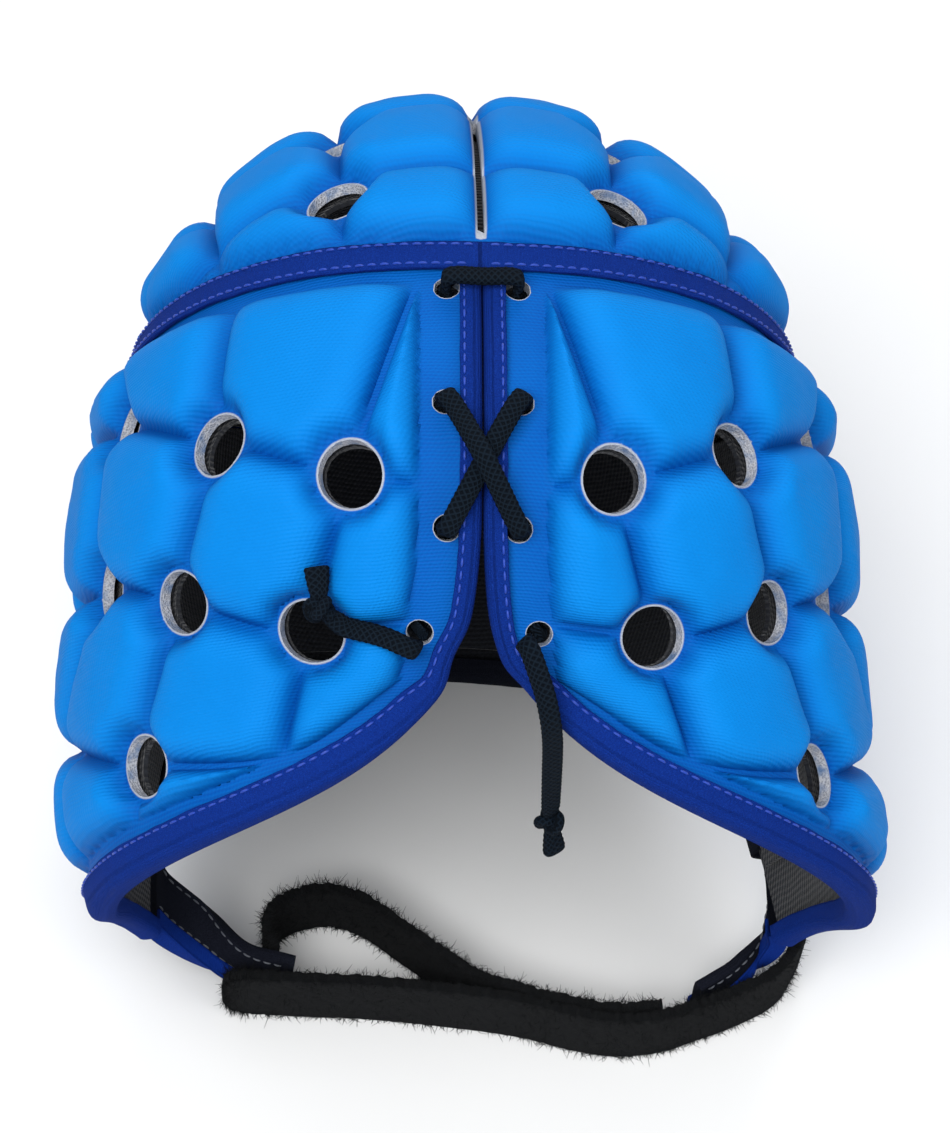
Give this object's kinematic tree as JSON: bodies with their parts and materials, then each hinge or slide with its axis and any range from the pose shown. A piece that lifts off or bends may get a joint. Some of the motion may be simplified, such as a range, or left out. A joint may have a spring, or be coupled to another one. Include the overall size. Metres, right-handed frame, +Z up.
{
  "type": "rugby scrum cap",
  "caption": "Padded rugby scrum cap in fabric-covered foam blocks, laced at the back, with a hook-and-loop chin strap, lying face down.",
  "frame": {"origin": "on the surface that the cap lies on, under the middle of its box without the free lace ends", "axes": "+Z up from the surface, -Y towards the neck opening and the chin strap, +X to the wearer's right"},
  "size_m": [0.2038, 0.2224, 0.2213],
  "materials": {
    "padding": "fine ribbed knit over pressed foam",
    "lining": "thin black mesh cloth",
    "tape": "royal blue folded binding tape",
    "dark_tape": "black folded binding tape",
    "strap": "black brushed loop tape",
    "lace": "black flat braid"
  },
  "bodies": {
    "root": {"crown_panel": "padding", "left_panel": "padding", "right_panel": "padding", "forehead_panel": "padding", "crown_lining": "lining", "left_lining": "lining", "right_lining": "lining", "forehead_lining": "lining", "seam_band": "tape", "left_binding": "tape", "right_binding": "tape", "left_face_binding": "dark_tape", "right_face_binding": "dark_tape", "forehead_binding": "dark_tape", "left_tab": "dark_tape", "right_tab": "dark_tape", "chin_strap": "strap", "inner_strap": "strap", "lace": "lace", "left_lace_end": "lace", "right_lace_end": "lace", "left_lace_knot": "lace", "right_lace_knot": "lace"}
  },
  "joints": []
}
